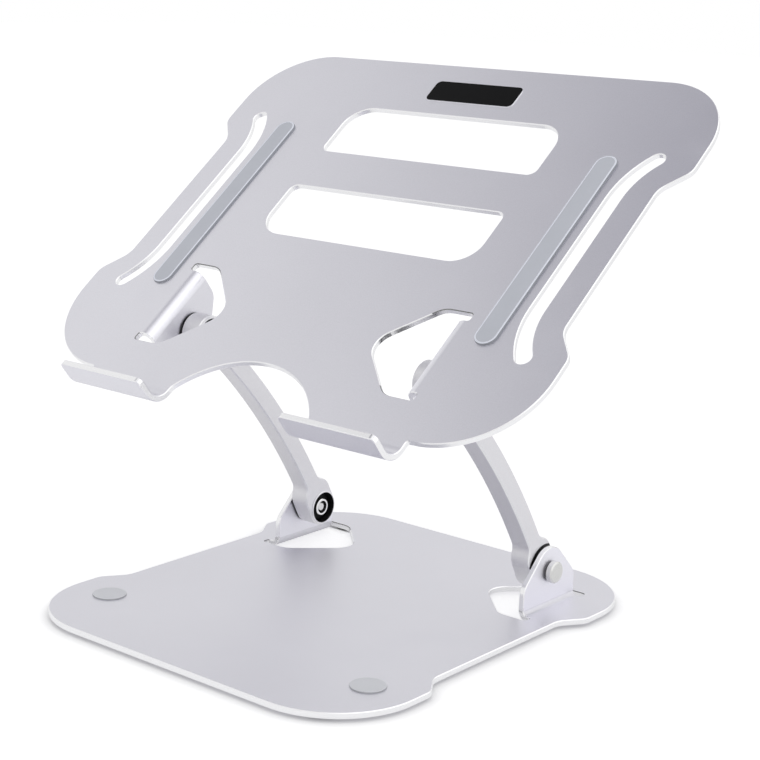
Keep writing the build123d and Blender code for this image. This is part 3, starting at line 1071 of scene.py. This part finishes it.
@dataclass
class BasePlate(Assembly):
    """The bent sheet that stands on the desk, with its bumpers and feet.

    The profiles run from the underside up, in shares of a pad's radius and height.
    """

    bumper_profile: Profile = (
        (1.0, 0.0), (1.0, 0.4), (0.995, 0.68), (0.98, 0.88), (0.955, 0.97), (0.92, 1.0),
        (0.88, 0.99), (0.85, 0.95), (0.82, 0.92), (0.6, 0.9), (0.3, 0.9),
    )
    foot_profile: Profile = (
        (0.3, 0.22), (0.56, 0.22), (0.62, 0.17), (0.66, 0.06), (0.7, 0.0), (0.88, 0.0),
        (0.93, 0.04), (0.97, 0.15), (0.99, 0.32), (1.0, 0.5), (1.0, 1.0),
    )

    def build(self) -> None:
        """Dress the sheet, then build the bumpers on it and the feet under it."""
        sheet = AnodisedSheet(
            "anodised_base",
            tone=(0.785, 0.78, 0.828),
            pivot=tuple(Level.LOWER.pivot),
            gloss=0.44,
            # Painted highlight on the tab blades, and painted shade over the bends
            blade_painted_light=1.13,
            bend_painted_light=0.85,
        )
        self.dress(sheet, "base_plate")
        # The bumpers keep a faint painted rim highlight, and the feet the full painted rim highlight and
        # wall shade
        pale_rubber = SoftRubber("bumper_rubber", tone=(0.66, 0.67, 0.7), rim_highlight_gain=1.05, gloss=0.45)
        dark_rubber = SoftRubber("foot_rubber", tone=(0.05, 0.05, 0.052), gloss=0.6)
        bumper = pale_rubber.material(self.effects)
        foot = dark_rubber.material(self.effects)
        for side in Side:
            self.turned_pad(f"{side.word}_bumper", self.bumper_profile, "bumper", bumper)
            for end in ("front", "rear"):
                self.turned_pad(f"{end}_{side.word}_foot", self.foot_profile, "foot", foot)

    def turned_pad(self, node: str, profile: Profile, slot: str, made: Material) -> None:
        """Build a round pad in the place of a CAD node.

        Args:
            node: The CAD node that the pad replaces.
            profile: The pad's profile.
            slot: The record's material slot.
            made: The pad's material.
        """
        low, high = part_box(node)
        seat = Matrix.Translation(((low.x + high.x) / 2, (low.y + high.y) / 2, low.z))
        radius = (high.x - low.x) / 2
        height = high.z - low.z
        rings = [round_ring(radius * out, height * up, seat) for out, up in profile]
        self.stand_for(ringed_piece(f"{node}_pad", rings), node, "base", slot, made)


@dataclass
class Arms(Assembly):
    """The two bowed bars between base and platform."""

    def build(self) -> None:
        """Dress both bars."""
        finish = AnodisedBar(
            "anodised_arm",
            tone=(0.79, 0.785, 0.81),
            gloss=0.54,
            bevel_tone=(0.86, 0.86, 0.88),
            bevel_gloss=0.36,
            pivots=tuple(tuple(level.pivot) for level in Level),
        )
        self.dress(finish, *[f"{side.word}_arm" for side in Side])


@dataclass
class Pivots(Assembly):
    """The bolts, washers, springs and nuts on the two pivot axes."""

    def build(self) -> None:
        """Dress the hardware of each axis."""
        for level in Level:
            for piece, finish in self.finishes(level).items():
                self.dress(finish, *[f"{side.word}_{level.word}_{piece}" for side in Side])

    @staticmethod
    def finishes(level: Level) -> dict[str, Finish]:
        """The finish of each kind of piece on one axis.

        Args:
            level: The pivot axis.

        Returns:
            The finishes, by the last words of the nodes' names.
        """
        pivot = tuple(level.pivot)
        return {
            "bolt": TurnedSteel(f"turned_steel_{level.word}", pivot=pivot),
            "nut": TurnedSteel(f"plated_steel_{level.word}", pivot=pivot, tone=(0.88, 0.88, 0.87)),
            # The head washer's dark tone is painted shade, for the shadow between the bolt head and the tab
            "head_washer": Blackened(
                f"dark_steel_{level.word}",
                pivot=pivot,
                tone=(0.12, 0.12, 0.12),
                sheen_band_tone=(0.16, 0.16, 0.16),
                metallic=1.0,
            ),
            "disc_spring": Blackened(f"black_oxide_{level.word}", pivot=pivot, gloss=0.32),
            "friction_washer": Blackened(
                f"black_polymer_{level.word}",
                pivot=pivot,
                tone=(0.002, 0.002, 0.002),
                sheen_band_tone=(0.006, 0.006, 0.006),
                gloss=0.5,
                sheen=0.02,
            ),
        }


@dataclass
class Platform(Assembly):
    """The bent sheet that the laptop lies on, with its strips and its blank plate.

    The strips' profile runs from the underside up, in millimetres inwards and shares of a strip's height.
    """

    tilt: float = math.radians(37.8)
    hook_start: float = 52.2 * MM
    lip_top: float = -38.05 * MM
    strip_profile: Profile = (
        (0.0, 0.0), (0.05, 0.3), (0.1, 0.55), (0.2, 0.76), (0.36, 0.92), (0.5, 0.98), (0.62, 1.0),
        (0.74, 0.985), (1.02, 0.925), (1.15, 0.92), (2.2, 0.92), (3.6, 0.92), (5.0, 0.92),
    )
    plate_bevel: float = 0.16 * MM
    plate_segments: int = 2

    @property
    def seat(self) -> Matrix:
        """The platform's frame: on the upper pivot axis, Y up the slope, Z out of the top skin."""
        return Matrix.Translation(Level.UPPER.pivot) @ Matrix.Rotation(self.tilt, 4, "X")

    def build(self) -> None:
        """Dress the sheet and the blank plate, and build the strips."""
        sheet = AnodisedSheet(
            "anodised_platform",
            pivot=tuple(Level.UPPER.pivot),
            lean=math.pi + self.tilt,
            hook_start=self.hook_start,
            lip_top=self.lip_top,
            # Painted shade on the flaps' blades, and a painted highlight along the bends
            blade_painted_light=0.94,
            bend_painted_light=1.14,
        )
        self.dress(sheet, "platform_plate")
        out = tuple(self.seat.col[2].to_3d())
        self.dress(BlackLacquer("plate_lacquer", up=out), "nameplate")
        rim = frame["nodes"]["nameplate"].modifiers.new("rim", "BEVEL")
        rim.width = self.plate_bevel
        rim.segments = self.plate_segments
        rim.limit_method = "ANGLE"
        silicone = SoftRubber("grip_silicone", up=out).material(self.effects)
        for side in Side:
            self.strip(f"{side.word}_grip_strip", silicone)

    def strip(self, node: str, made: Material) -> None:
        """Build a grip strip in the place of a CAD node.

        Args:
            node: The CAD node that the strip replaces.
            made: The strip's material.
        """
        low, high = extent(node, self.seat)
        middle = (low + high) / 2
        seat = self.seat @ Matrix.Translation((middle.x, middle.y, low.z))
        radius = (high.x - low.x) / 2
        half_run = (high.y - low.y) / 2 - radius
        height = high.z - low.z
        rings = [
            stadium_ring(radius - inset * MM, half_run, height * up, seat)
            for inset, up in self.strip_profile
        ]
        self.stand_for(ringed_piece(f"{node}_pad", rings), node, "platform", "grip_strip", made)


# Studio and camera


@dataclass
class Studio:
    """A pale surround with a dark flag overhead and a bright panel at the right, a floor and a lamp."""

    floor_half: float = 6.0
    floor_cells: int = 8
    floor_drop: float = 0.2 * MM
    floor_tone: Rgb = (0.7, 0.7, 0.7)
    floor_lift: float = 0.56
    mirrored_lift: float = 0.33
    contact_reach: float = 0.03
    contact_power: float = 2.2
    contact_least: float = 0.22
    footprint: tuple[float, float] = (0.09, 0.095)
    white: Rgb = (1.0, 1.0, 1.0)
    wall: Rgb = (0.88, 0.88, 0.88)
    flag: Rgb = (0.1, 0.095, 0.16)
    flag_way: Point = (-0.3185, 0.0677, 0.9455)
    flag_edge: float = math.cos(math.radians(22.0))
    flag_core: float = math.cos(math.radians(6.0))
    panel: Rgb = (1.2, 1.2, 1.2)
    panel_way: Point = (0.745, 0.298, 0.596)
    panel_edge: float = math.cos(math.radians(62.0))
    panel_core: float = math.cos(math.radians(30.0))
    ambient: Rgb = (0.72, 0.72, 0.73)
    lamp_place: Point = (1.0, -0.9, 1.6)
    lamp_target: Point = (0.0, 0.0, 0.12)
    lamp_size: float = 1.6
    lamp_power: float = 7.0

    def build(self) -> None:
        """Make the surround, the floor and the lamp."""
        bpy.context.scene.view_settings.view_transform = "Standard"
        self.surround()
        self.floor()
        self.lamp()
        LOG.info("studio ready")

    @staticmethod
    def seen(bench: NodeBench) -> tuple[NodeSocket, NodeSocket]:
        """Tell the rays that show a surface from those that only light the stand.

        Args:
            bench: The bench of the shader's tree.

        Returns:
            1 for a ray straight from the camera, and 1 for one by way of a mirror or through glass.
        """
        path = bench.add("ShaderNodeLightPath", {}).outputs
        mirrored = bench.math("MAXIMUM", path["Is Glossy Ray"], path["Is Transmission Ray"])
        return path["Is Camera Ray"], mirrored

    def surround(self) -> None:
        """White for the camera, pale with flag and panel in reflections, and even light for all else."""
        world = bpy.data.worlds.new("studio")
        world.use_nodes = True
        bpy.context.scene.world = world
        bench = NodeBench(world.node_tree)
        camera, mirrored = self.seen(bench)
        way = bench.add("ShaderNodeTexCoord", {}).outputs["Generated"]
        reflected: Feed = rgba(self.wall)
        for tone, aim, edge, core in (
            (self.flag, self.flag_way, self.flag_edge, self.flag_core),
            (self.panel, self.panel_way, self.panel_edge, self.panel_core),
        ):
            share = bench.ramp(bench.dot(way, aim), edge, core)
            reflected = bench.blend_color(share, reflected, rgba(tone))
        light = bench.blend_color(mirrored, rgba(self.ambient), reflected)
        shown = bench.blend_color(camera, light, rgba(self.white))
        bench.feed(world.node_tree.nodes["Background"].inputs["Color"], shown)

    def floor(self) -> None:
        """A pale floor that keeps the stand's shadow."""
        form = bmesh.new()
        cells = self.floor_cells
        bmesh.ops.create_grid(form, x_segments=cells, y_segments=cells, size=self.floor_half)
        mesh = bpy.data.meshes.new("floor")
        form.to_mesh(mesh)
        form.free()
        piece = bpy.data.objects.new("floor", mesh)
        piece.location.z = -self.floor_drop
        bpy.context.scene.collection.objects.link(piece)
        mesh.materials.append(self.floor_paint())

    def floor_paint(self) -> Material:
        """The floor's paint, which glows a little where the camera or a mirror sees it.

        Returns:
            The floor's material.
        """
        made = bpy.data.materials.new("studio_floor")
        made.use_nodes = True
        tree = made.node_tree
        tree.nodes.remove(tree.nodes["Principled BSDF"])
        bench = NodeBench(tree)
        camera, mirrored = self.seen(bench)
        lift = bench.product(camera, self.floor_lift, self.contact(bench))
        lift = bench.math("MULTIPLY_ADD", mirrored, self.mirrored_lift, lift)
        paint = bench.add("ShaderNodeBsdfDiffuse", {"Color": rgba(self.floor_tone)})
        glow = bench.add("ShaderNodeEmission", {"Color": rgba(self.white), "Strength": lift})
        both = bench.add("ShaderNodeAddShader", {0: paint.outputs[0], 1: glow.outputs[0]})
        bench.feed(tree.nodes["Material Output"].inputs["Surface"], both.outputs[0])
        return made

    def contact(self, bench: NodeBench) -> NodeSocket:
        """How open the floor is: less close around the stand, but not inside the base's footprint.

        Args:
            bench: The bench of the floor's tree.

        Returns:
            A share that is 1 in the open.
        """
        nearby = bench.add("ShaderNodeAmbientOcclusion", {"Distance": self.contact_reach}).outputs["AO"]
        x, y, _ = bench.split(bench.add("ShaderNodeTexCoord", {}).outputs["Object"])
        half_x, half_y = self.footprint
        across = bench.math("DIVIDE", bench.math("ABSOLUTE", x), half_x)
        along = bench.math("DIVIDE", bench.math("ABSOLUTE", y), half_y)
        inside = bench.math("LESS_THAN", bench.math("MAXIMUM", across, along), 1.0)
        fall = bench.math("POWER", nearby, self.contact_power)
        share = bench.blend_value(fall, self.contact_least, 1.0)
        return bench.math("MAXIMUM", share, inside)

    def lamp(self) -> None:
        """One large soft lamp at the front right, aimed at the stand."""
        light = bpy.data.lights.new("softbox", "AREA")
        light.shape = "SQUARE"
        light.size = self.lamp_size
        light.energy = self.lamp_power
        piece = bpy.data.objects.new("softbox", light)
        piece.location = self.lamp_place
        aim = Vector(self.lamp_target) - Vector(self.lamp_place)
        piece.rotation_euler = aim.to_track_quat("-Z", "Y").to_euler()
        piece.visible_glossy = False
        bpy.context.scene.collection.objects.link(piece)


@dataclass
class PhotoCamera:
    """The camera at the photograph's angle, for a square frame of 760 pixels."""

    azimuth: float = math.radians(38.91)
    elevation: float = math.radians(13.07)
    roll: float = math.radians(1.93)
    place: Point = (0.55266, -0.65689, 0.31724)
    sensor: float = 36.0
    focal_pixels: float = 1789.51
    frame_pixels: float = 760.0
    clip_start: float = 0.01

    def build(self) -> None:
        """Make the camera and hand it to the scene."""
        data = bpy.data.cameras.new("photo_camera")
        data.sensor_width = self.sensor
        data.lens = self.sensor * self.focal_pixels / self.frame_pixels
        data.clip_start = self.clip_start
        piece = bpy.data.objects.new("photo_camera", data)
        away = Vector((
            math.sin(self.azimuth) * math.cos(self.elevation),
            -math.cos(self.azimuth) * math.cos(self.elevation),
            math.sin(self.elevation),
        ))
        level_right = (-away).cross(Vector((0.0, 0.0, 1.0))).normalized()
        level_up = level_right.cross(-away)
        right = math.cos(self.roll) * level_right + math.sin(self.roll) * level_up
        up = math.cos(self.roll) * level_up - math.sin(self.roll) * level_right
        turn = Matrix((right, up, away)).transposed()
        piece.matrix_world = Matrix.Translation(self.place) @ turn.to_4x4()
        bpy.context.scene.collection.objects.link(piece)
        bpy.context.scene.camera = piece
        LOG.info("camera ready")


def main() -> None:
    """Build the stand's looks, the studio and the camera."""
    logging.basicConfig(level=logging.INFO, format="%(name)s: %(message)s")
    effects = Effects.build()
    for assembly in (BasePlate, Arms, Pivots, Platform):
        assembly(effects).build()
    Studio().build()
    PhotoCamera().build()


if __name__ == "__main__":
    main()
